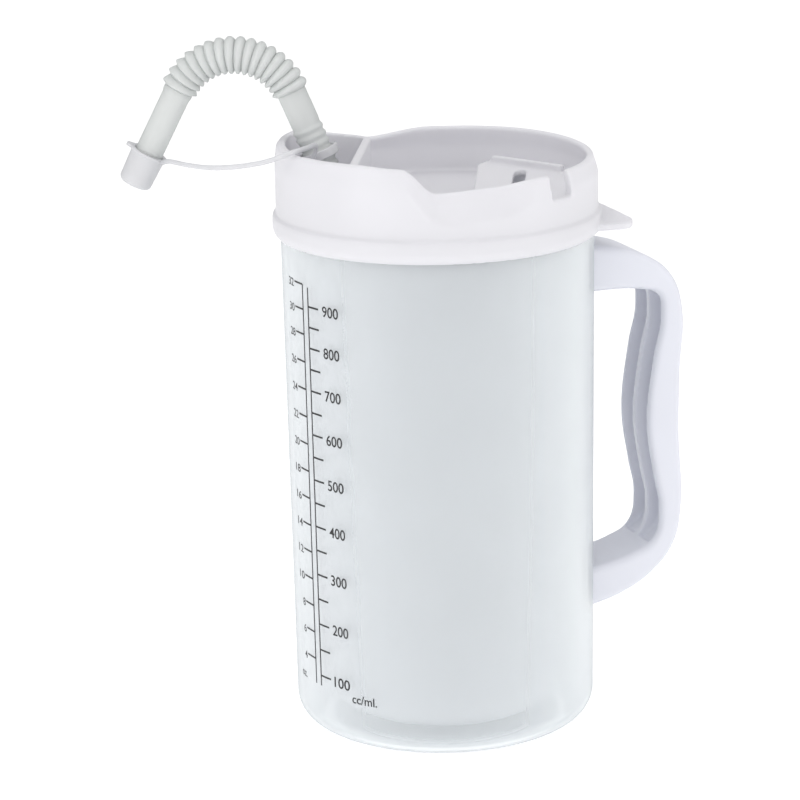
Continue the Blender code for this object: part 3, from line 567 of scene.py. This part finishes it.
def make_print():
    line = 0.62
    parts = [curled(bar(-line / 2, line / 2, 0.0, 134.2), -165.8, 18.9)]
    for amount in range(100, 901, 50):
        z = height_of_ml(amount)
        parts.append(curled(bar(0.0, 5.4, -line / 2, line / 2), -165.8, z))
    for amount in range(100, 901, 100):
        parts.append(curled(lettering(str(amount), 7.0, 3.6, True), -157.6, height_of_ml(amount) - 0.3))
    parts.append(curled(lettering("cc/ml.", 9.6, 3.0), -148.6, 16.6))
    ml_print = joined("ml_scale_print", parts)

    parts = [curled(bar(-line / 2, line / 2, 0.0, 134.8), -169.3, 18.9)]
    for amount in range(4, 33, 2):
        z = 27.5 + 4.57 * (amount - 4) - 0.45 * max(0, amount - 28)
        parts.append(curled(bar(-5.6, 0.0, -line / 2, line / 2), -169.3, z))
        width = 4.2 if amount > 9 else 2.0
        parts.append(curled(lettering(str(amount), width, 2.7, True), 183.6 - width / 0.88, z - 0.6))
    parts.append(curled(lettering("oz.", 4.4, 1.9), 177.6, 18.6))
    oz_print = joined("oz_scale_print", parts)
    for obj in (ml_print, oz_print):
        obj.data.materials.append(INK)
        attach(obj, "mug")


# ---------------------------------------------------------------- lid

RIM = [
    (-180, RIM_HIGH - 0.9), (-150, RIM_HIGH - 0.8), (-136, RIM_HIGH - 0.4), (-116, RIM_HIGH - 0.2),
    (-98, RIM_HIGH - 1.0), (-86, RIM_FRONT), (-64, RIM_FRONT + 1.0), (-46, RIM_FRONT + 2.8),
    (-30, RIM_BACK - 0.6), (0, RIM_BACK - 0.2), (60, RIM_BACK + 0.4), (96, RIM_BACK), (122, RIM_BACK - 2.2),
    (150, RIM_BACK - 1.0), (164, RIM_HIGH - 0.9), (180, RIM_HIGH - 0.9),
]
LEAN = [
    (-180, 0.6), (-98, 0.8), (-84, 4.4), (-62, 4.0), (-47, 1.0), (-30, 1.4), (122, 2.4), (160, 0.6),
    (180, 0.6),
]
LEAN_FROM = [
    (-180, 14.0), (-98, 13.0), (-84, 2.0), (-62, 3.0), (-47, 6.6), (-30, 9.0), (122, 8.0), (160, 14.0),
    (180, 14.0),
]


def lid_section(at):
    """The lid's section this many degrees round from its tab, as (r, z)."""
    rim = DECK + read_off(RIM, at)
    lean = read_off(LEAN, at)
    start = DECK + read_off(LEAN_FROM, at)
    edge = COLLAR_T / 2

    def outer(z):
        return COLLAR_R - lean * eased((z - start) / (rim - start)) if z > start else COLLAR_R

    heights = [DECK + (rim - edge - DECK) * k / 18 for k in range(19)]
    top = (outer(rim - edge) - edge, rim - edge)
    skirt_low = SHELL_H - SKIRT_H + 1.7
    bead_r = COLLAR_R + BEAD_STEP
    bead_top = skirt_low + BEAD_H
    plug_r = LINER_TOP_R - LINER_WALL - CLEAR
    under = DECK - DECK_T
    return [
        (0.0, DECK), (24.0, DECK), (outer(DECK) - COLLAR_T - 0.8, DECK),
        *[(outer(z) - COLLAR_T, z) for z in heights[1:]],
        *arc(top, edge, 180, 0, 10)[1:-1],
        *[(outer(z), z) for z in reversed(heights)],
        (COLLAR_R, bead_top), (bead_r - 0.3, bead_top - 0.5), (bead_r, bead_top - 1.8),
        (bead_r, skirt_low + 3.2), (bead_r - 0.5, skirt_low + 1.4), (bead_r - 1.6, skirt_low + 0.2),
        (SKIRT_IN, skirt_low), (SKIRT_IN, under), (plug_r, under), (plug_r - 0.4, under - PLUG_DEPTH),
        (plug_r - PLUG_T, under - PLUG_DEPTH), (plug_r - PLUG_T, under), (20.0, under), (0.0, under),
    ]


def lofted_lid(name, steps=288):
    bm = bmesh.new()
    rows = []
    for k in range(steps):
        at = -180.0 + 360.0 * k / steps
        turn = radians(at)
        rows.append([
            bm.verts.new((r * cos(turn) * MM, r * sin(turn) * MM, z * MM)) for r, z in lid_section(at)
        ])
    for k in range(steps):
        here, there = rows[k], rows[(k + 1) % steps]
        for i in range(len(here) - 1):
            bm.faces.new((here[i], here[i + 1], there[i + 1], there[i]))
    bmesh.ops.remove_doubles(bm, verts=bm.verts, dist=1e-7)
    return object_of(bm, name)


def platform_back(x, inset=0.0):
    slope = radians(PLATFORM_SLOPE)
    behind = (LEDGE_T - inset) / cos(slope)
    return PLATFORM_CORNER[1] + behind + (x - PLATFORM_CORNER[0]) * sin(slope) / cos(slope)


def platform_outline(inset, wall_r):
    left = PLATFORM_LEFT + inset
    steps = [wall_r * k / 200 for k in range(201)]
    right = max(x for x in steps if hypot(x, platform_back(x, inset)) <= wall_r)
    first = degrees(atan2(platform_back(right, inset), right))
    last = degrees(atan2(-sqrt(wall_r**2 - left**2), left))
    bend = PLATFORM_CORNER[0] - PLATFORM_LEFT
    back = platform_back(left, inset)
    corner = [(left, back - bend * 1.6), (left + bend, platform_back(left + bend, inset))]
    return corner + arc((0, 0), wall_r, first, last, 24)


def sloped_top(obj, drop):
    slope = radians(PLATFORM_SLOPE)
    front = Vector((sin(slope), -cos(slope), 0.0))
    normal = Vector((0, 0, 1)) * cos(radians(PLATFORM_FALL)) + front * sin(radians(PLATFORM_FALL))
    at = Vector((*PLATFORM_CORNER, DECK + PLATFORM_HIGH)) - normal * drop
    return cut_above(obj, at, normal)


def splash_ledge():
    slope = radians(PLATFORM_SLOPE)
    along = Vector((cos(slope), sin(slope), 0.0))
    front = Vector((sin(slope), -cos(slope), 0.0))
    start = Vector((*PLATFORM_CORNER, DECK + PLATFORM_HIGH))
    reach = 31.0
    side = [(0.0, -2.5), (0.0, 0.0), (2.4, LEDGE_H), (reach, LEDGE_H), (reach, -2.5)]
    bm = bmesh.new()
    rows = []
    for depth in (0.0, -LEDGE_T + 0.1):
        rows.append([
            bm.verts.new((start + along * s + front * depth + Vector((0, 0, h))) * MM) for s, h in side
        ])
    bm.faces.new(rows[0])
    bm.faces.new(rows[1])
    for k in range(len(side)):
        bm.faces.new((rows[0][k], rows[0][k - 1], rows[1][k - 1], rows[1][k]))
    return object_of(bm, "splash_ledge")


def pocket_outline(inset, wall_r):
    right = POCKET_RIGHT - inset
    far = POCKET_FAR - inset
    corner = POCKET_CORNER - inset
    first = 180 - degrees(asin(far / wall_r))
    last = 360 - degrees(acos(right / wall_r))
    return arc((right - corner, far - corner), corner, 0, 90, 10) + arc((0, 0), wall_r, first, last, 48)


def through(knots, steps):
    """A smooth run of points through these ones."""
    points = []
    for i in range(len(knots) - 1):
        before, a, b, after = knots[max(i - 1, 0)], knots[i], knots[i + 1], knots[min(i + 2, len(knots) - 1)]
        for k in range(steps):
            t = k / steps
            points.append(0.5 * (
                2 * a + (b - before) * t + (2 * before - 5 * a + 4 * b - after) * t**2
                + (3 * a - before - 3 * b + after) * t**3
            ))
    return [*points, knots[-1]]


def tab_outline(steps):
    knots = [
        (48.0, TAB_LEFT + 5.0), (TAB_TIP - 11.5, TAB_LEFT), (TAB_TIP - 6.9, TAB_LEFT - 9.5),
        (TAB_TIP - 2.6, 8.1), (TAB_TIP - 0.6, 3.5), (TAB_TIP, -1.0), (TAB_TIP - 0.8, 4.2 - TAB_RIGHT),
        (TAB_TIP - 2.9, 2.5 - TAB_RIGHT), (TAB_TIP - 6.4, 1.2 - TAB_RIGHT), (TAB_TIP - 9.9, -TAB_RIGHT),
        (48.0, -TAB_RIGHT - 0.8),
    ]
    return [(v.x, v.y) for v in through([Vector(k) for k in knots], steps)]


def make_lid():
    lid = lofted_lid("lid_visual")
    under = DECK - DECK_T
    mid_deck = DECK - DECK_T / 2
    plug_in = LINER_TOP_R - LINER_WALL - CLEAR - PLUG_T
    platform = sloped_top(prism("platform", platform_outline(0.0, COLLAR_R - 1.2), mid_deck, DECK + 20), 0.0)
    boolean(lid, platform, "UNION")
    hollow = prism("hollow", platform_outline(PLATFORM_T, plug_in - 0.6), under - 3, DECK + 20)
    boolean(lid, sloped_top(hollow, PLATFORM_T), "DIFFERENCE")
    boolean(lid, splash_ledge(), "UNION")
    x, y = SLOT_AT
    slot = prism(
        "slot",
        arc((x, y), SLOT_W / 2, 0, 180, 12) + arc((x - 0.4, y - SLOT_L + SLOT_W), SLOT_W / 2, 180, 360, 12),
        under - 3, DECK + 20,
    )
    boolean(lid, slot, "DIFFERENCE")

    rim = Vector((-COLLAR_R, 0, DECK + RIM_HIGH - 0.2))
    fall = radians(POCKET_FALL)
    tower = prism("tower", pocket_outline(0.0, COLLAR_R - 1.4), mid_deck, DECK + 30)
    boolean(lid, cut_above(tower, rim, Vector((sin(fall), 0, cos(fall)))), "UNION")
    floor = DECK + POCKET_FLOOR
    well = prism("well", pocket_outline(POCKET_T, COLLAR_R - COLLAR_T - 1.2), floor, DECK + 30)
    boolean(lid, well, "DIFFERENCE")
    boolean(lid, prism("core", pocket_outline(POCKET_T, plug_in - 0.6), under - 3, floor - 2.0), "DIFFERENCE")
    bore = [straw_at(TUBE_L * k / 40) for k in range(41)]
    inner = [station for station in bore if floor - 12 < station[0].z < floor + 8]
    radius = STRAW_OD / 2 + CLEAR + 0.5
    hole = solid_rod("bore", inner, radius, 32)
    boolean(lid, hole, "DIFFERENCE")

    low_corner = (COLLAR_R - 6.5, -NOTCH_W / 2, DECK + NOTCH_FLOOR)
    notch = box("notch", low_corner, (COLLAR_R + 5, NOTCH_W / 2, DECK + 40))
    notch.data.transform(Matrix.Rotation(radians(NOTCH_AT), 4, "Z"))
    boolean(lid, notch, "DIFFERENCE")

    tab = prism("tab", tab_outline(8), DECK - TAB_TOP - TAB_T, DECK - TAB_TOP)
    keep_r = SKIRT_IN + SKIRT_T / 2
    keep = turned("keep", [(0.0, DECK + 5), (keep_r, DECK + 5), (keep_r, DECK - 30), (0.0, DECK - 30)], 256)
    boolean(tab, keep, "DIFFERENCE")
    boolean(lid, tab, "UNION")
    lid.data.transform(LID_SPIN)
    moulded(lid, 0.42, 5)
    return dress(lid, WHITE, "white_plastic", "lid", "lid")


# ---------------------------------------------------------------- straw

TUBE_CURVE = (STRAW_TILT - FOOT_TILT) / TUBE_L


def straw_at(s):
    """The place on the straw's axis s mm up from its foot, and the straw's direction there."""
    tilt = FOOT_TILT + TUBE_CURVE * s
    x = STRAW_FOOT[0] - (cos(FOOT_TILT) - cos(tilt)) / TUBE_CURVE
    z = STRAW_FOOT[1] + (sin(tilt) - sin(FOOT_TILT)) / TUBE_CURVE
    return Vector((x, 0.0, z)), Vector((-sin(tilt), 0.0, cos(tilt)))


def bellows_frame(share):
    turn = STRAW_TILT + BELLOWS_BEND * share
    centre = straw_at(TUBE_L)[0] + Vector((-cos(STRAW_TILT), 0, -sin(STRAW_TILT))) * BELLOWS_ARC_R
    place = centre + Vector((cos(turn), 0, sin(turn))) * BELLOWS_ARC_R
    return place, Vector((-sin(turn), 0, cos(turn)))


def along_mouth(distance):
    place, way = bellows_frame(1.0)
    return place + way * distance


def solid_rod(name, stations, radius, sides):
    bm = bmesh.new()
    across = Vector((0.0, 1.0, 0.0))
    rings = []
    for place, way in stations:
        up = across.cross(way)
        rings.append([
            bm.verts.new((
                place + across * radius * cos(2 * pi * k / sides) + up * radius * sin(2 * pi * k / sides)
            ) * MM)
            for k in range(sides)
        ])
    skin(bm, rings)
    bm.faces.new(rings[0])
    bm.faces.new(rings[-1])
    return object_of(bm, name)


def world(place):
    return LID_SPIN @ (place * MM)


def make_tube():
    neck_end = TUBE_L - 12.0
    neck_start = neck_end - NECK_RIBS * NECK_PITCH
    radius = STRAW_OD / 2
    stations = [neck_start * k / 40 for k in range(40)]
    outer = [radius] * 40
    per_rib = 8
    for k in range(NECK_RIBS * per_rib + 1):
        stations.append(neck_start + NECK_PITCH * k / per_rib)
        wave = (1 - cos(2 * pi * k / per_rib)) / 2
        outer.append(radius - 0.15 + 0.5 * wave)
    for k in range(1, 9):
        stations.append(neck_end + 12.0 * k / 8)
        outer.append(radius)
    inner = [r - STRAW_WALL for r in outer]
    tube = pipe("straw_tube_visual", [straw_at(s) for s in stations], outer, inner, 48)
    tube.data.transform(LID_SPIN)
    smooth(tube, 60)
    return dress(tube, STRAW, "straw", "straw", "straw_tube")


def rib_radius(phase, share):
    """The pleats' outer radius: round tips near the mug, leaning teeth towards the mouthpiece."""
    root = STRAW_OD / 2 - 0.1
    height = RIB_OD / 2 - root
    rounded = abs(sin(pi * phase)) ** 0.7
    peak = 0.74
    tooth = (phase / peak) ** 0.8 if phase < peak else ((1 - phase) / (1 - peak)) ** 0.9
    lean = eased((share - 0.45) / 0.4)
    return root + height * (rounded * (1 - lean) + tooth * lean)


def make_bellows():
    per_rib = 12
    for number in range(BELLOWS_LINKS):
        steps = RIBS_PER_LINK * per_rib
        stations, outer = [], []
        for k in range(steps + 1):
            share = (number + k / steps) / BELLOWS_LINKS
            stations.append(bellows_frame(share))
            phase = (k % per_rib) / per_rib
            outer.append(rib_radius(phase, share) if k % per_rib else STRAW_OD / 2 - 0.1)
        inner = [r - STRAW_WALL for r in outer]
        part = pipe(f"straw_bellows_{number + 1}_visual", stations, outer, inner, 48)
        part.data.transform(LID_SPIN)
        smooth(part, 75)
        dress(part, STRAW, "straw", None, f"straw_bellows_{number + 1}")
        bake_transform(part)


def make_mouthpiece():
    radius = MOUTH_OD / 2
    way = bellows_frame(1.0)[1]
    stations = [0.0, 0.8, 1.6, 2.4, 3.4, 6.0, 12.0, 18.0, 24.0, 30.0, MOUTH_L - 0.5, MOUTH_L - 0.15, MOUTH_L]
    outer = [STRAW_OD / 2 - 0.1, STRAW_OD / 2 + 0.1, STRAW_OD / 2 + 0.05] + [radius + 0.05] + [radius] * 7 + [
        radius - 0.1, radius - 0.25]
    inner = [r - STRAW_WALL for r in outer]
    part = pipe("straw_mouthpiece_visual", [(along_mouth(s), way) for s in stations], outer, inner, 64)
    part.data.transform(LID_SPIN)
    smooth(part, 50)
    return dress(part, STRAW, "straw", "mouthpiece", "straw_mouthpiece")


def make_cap():
    bore = MOUTH_OD / 2 + CLEAR
    radius = bore + CAP_WALL
    low = radius - 0.35
    crown = 1.6
    profile = [
        (0.0, -CAP_L + 1.2), (bore - 0.3, -CAP_L + 1.2), (bore, -CAP_L + 1.5), (bore, -0.25),
        (bore + 0.25, 0.0),
        *arc((FLANGE_OD / 2 - 0.4, -0.4), 0.4, 90, 0, 4),
        *arc((FLANGE_OD / 2 - 0.4, -FLANGE_T + 0.4), 0.4, 0, -90, 4),
        (radius + 0.2, -FLANGE_T), (radius, -FLANGE_T - 0.3),
        *arc((low - crown, -CAP_L + crown), crown, 0, -90, 8), (0.0, -CAP_L),
    ]
    cap = turned("straw_cap_visual", profile, 96)
    tip = 2.2
    outline = [(radius - 0.4, -3.0)] + arc((FLANGE_OD / 2 + FINGER_TAB - tip, 0), tip, -80, 80, 12)
    outline.append((radius - 0.4, 3.0))
    boolean(cap, prism("finger_tab", outline, -FLANGE_T + 0.05, -0.05), "UNION")
    way = -bellows_frame(1.0)[1]
    turn = Matrix.Rotation(atan2(way.x, way.z), 4, "Y") @ Matrix.Rotation(pi, 4, "Z")
    opening = along_mouth(MOUTH_L - CAP_OVERLAP)
    cap.data.transform(LID_SPIN @ Matrix.Translation(opening * MM) @ turn)
    smooth(cap, 40)
    return dress(cap, CAP, "straw", "cap", "straw_cap")


def ring_place():
    rise = sin(FOOT_TILT) + (RING_AT_Z - STRAW_FOOT[1]) * TUBE_CURVE
    return straw_at((asin(rise) - FOOT_TILT) / TUBE_CURVE)


def make_ring():
    bore = STRAW_OD / 2 + 0.45 + CLEAR
    mid = (RING_OD / 2 + bore) / 2
    half_t = (RING_OD / 2 - bore) / 2
    profile = (
        arc((mid + half_t - 0.35, RING_H / 2 - 0.35), 0.35, 90, 0, 4)
        + arc((mid + half_t - 0.35, -RING_H / 2 + 0.35), 0.35, 0, -90, 4)
        + arc((mid - half_t + 0.35, -RING_H / 2 + 0.35), 0.35, -90, -180, 4)
        + arc((mid - half_t + 0.35, RING_H / 2 - 0.35), 0.35, 180, 90, 4)
    )
    ring = turned("tether_ring_visual", profile, 64, closed=True)
    place, way = ring_place()
    turn = Matrix.Rotation(atan2(way.x, way.z), 4, "Y")
    ring.data.transform(LID_SPIN @ Matrix.Translation(place * MM) @ turn)
    smooth(ring)
    return dress(ring, CAP, "straw", "straw", "tether_ring")


def strap_path():
    ring, _ = ring_place()
    opening = along_mouth(MOUTH_L - CAP_OVERLAP)
    way = bellows_frame(1.0)[1]
    over = DECK + RIM_HIGH + 0.8
    side = Vector((0.0, -1.0, 0.0))
    inward = way.cross(Vector((0, 1, 0))).normalized()
    if inward.x < 0:
        inward = -inward
    flange = opening + way * (FLANGE_T / 2) + (inward * 0.8 + side * 0.6) * (FLANGE_OD / 2 + CLEAR + 0.2)
    knots = [
        ring + Vector((-0.12, -0.99, 0)) * (RING_OD / 2 + CLEAR + STRAP_T / 2 + 0.3),
        Vector((-37.6, -10.4, over - 2.0)), Vector((-38.0, -16.0, over - 0.6)),
        Vector((-39.6, -24.0, over)), Vector((-43.4, -30.2, over - 0.2)),
        Vector((-51.0, -32.0, over - 2.6)), Vector((-60.0, -30.6, over - 4.4)),
        Vector((-69.0, -26.6, over - 5.6)), Vector((-77.5, -20.4, over - 6.0)),
        Vector((-85.0, -12.6, over - 6.2)), flange,
    ]
    return through(knots, 8)


def make_strap():
    points = strap_path()
    section = [
        (STRAP_W / 2 * cos(2 * pi * k / 16), STRAP_T / 2 * sin(2 * pi * k / 16)) for k in range(16)
    ]
    rings = []
    for i, point in enumerate(points):
        along = (points[min(i + 1, len(points) - 1)] - points[max(i - 1, 0)]).normalized()
        across = along.cross(Vector((0, 0, 1))).normalized()
        up = across.cross(along)
        rings.append([world(point + across * a * 0.62 + up * b * 1.5) for a, b in section])
    first = [0, 34, 46, 57, 68, 76]
    for number in range(5):
        low = first[number] if number else 0
        high = first[number + 1] if number < 4 else len(points) - 1
        bm = bmesh.new()
        loops = [[bm.verts.new(v) for v in ring] for ring in rings[low:high + 1]]
        skin(bm, loops)
        bm.faces.new(loops[0])
        bm.faces.new(loops[-1])
        part = object_of(bm, f"cap_tether_{number + 1}_visual")
        smooth(part, 60)
        dress(part, CAP, "straw", None, "cap_tether")
        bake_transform(part)


make_shell()
make_liner()
make_handle()
make_print()
make_lid()
make_tube()
make_bellows()
make_mouthpiece()
make_cap()
make_ring()
make_strap()


# ---------------------------------------------------------------- floor, light and camera

def area_light(name, power, size, size_y, place, target):
    """A white softbox, power in watts and sizes and place in metres, aimed at its target."""
    lamp = bpy.data.lights.new(name, "AREA")
    lamp.shape = "RECTANGLE"
    lamp.size = size
    lamp.size_y = size_y
    lamp.energy = power
    obj = bpy.data.objects.new(name, lamp)
    obj.location = place
    obj.rotation_euler = (Vector(target) - Vector(place)).to_track_quat("-Z", "Y").to_euler()
    bpy.context.scene.collection.objects.link(obj)


def make_stage():
    """A pale floor, a white world that lights less than it shows, and four softboxes round the mug."""
    bm = bmesh.new()
    bmesh.ops.create_circle(bm, cap_ends=True, segments=96, radius=6.0)
    floor = object_of(bm, "floor")
    mat = bpy.data.materials.new("floor_white")
    mat.use_nodes = True
    shader = mat.node_tree.nodes["Principled BSDF"]
    shader.inputs["Base Color"].default_value = (0.9, 0.9, 0.9, 1.0)
    shader.inputs["Roughness"].default_value = 0.9
    shader.inputs["Specular IOR Level"].default_value = 0.1
    shader.inputs["Emission Color"].default_value = (1.0, 1.0, 1.0, 1.0)
    shader.inputs["Emission Strength"].default_value = 0.45
    floor.data.materials.append(mat)

    sky = bpy.data.worlds.new("soft_white")
    sky.use_nodes = True
    bpy.context.scene.world = sky
    nodes, links = sky.node_tree.nodes, sky.node_tree.links
    background = nodes["Background"]
    background.inputs["Color"].default_value = (1.0, 1.0, 1.0, 1.0)
    seen = nodes.new("ShaderNodeLightPath")
    strength = nodes.new("ShaderNodeMapRange")
    strength.inputs["To Min"].default_value = 0.70
    strength.inputs["To Max"].default_value = 1.02
    links.new(seen.outputs["Is Camera Ray"], strength.inputs["Value"])
    links.new(strength.outputs["Result"], background.inputs["Strength"])

    def round_the_mug(azimuth, distance, height):
        return (distance * cos(radians(azimuth)), distance * sin(radians(azimuth)), height)

    target = (0.0, 0.0, 0.12)
    area_light("left_softbox", 1.5, 0.35, 0.8, round_the_mug(-160, 0.8, 0.3), target)
    area_light("right_softbox", 1.3, 0.35, 0.8, round_the_mug(-42, 0.8, 0.3), target)
    area_light("top_softbox", 1.7, 0.6, 0.6, (0.0, 0.0, 0.95), (0.0, 0.0, 0.1))
    area_light("front_softbox", 0.95, 0.5, 0.5, round_the_mug(-111, 0.75, 0.85), target)


def make_camera():
    """The photograph's viewpoint, on the mug's left front, about 15 degrees above it."""
    lens = bpy.data.cameras.new("camera")
    lens.lens = 148.9
    lens.sensor_width = 36.0
    lens.clip_start = 0.01
    lens.clip_end = 20.0
    camera = bpy.data.objects.new("camera", lens)
    bpy.context.scene.collection.objects.link(camera)
    forward = Vector((0.33468, 0.90596, -0.25929)).normalized()
    level = forward.cross(Vector((0, 0, 1))).normalized()
    rise = level.cross(forward)
    roll = radians(-1.2)
    right = level * cos(roll) + rise * sin(roll)
    up = -level * sin(roll) + rise * cos(roll)
    placed = Matrix((right, up, -forward)).transposed().to_4x4()
    placed.translation = Vector((-0.3774, -0.9832, 0.3905))
    camera.matrix_world = placed
    bpy.context.scene.camera = camera


make_stage()
make_camera()
bpy.context.scene.view_settings.view_transform = "Standard"
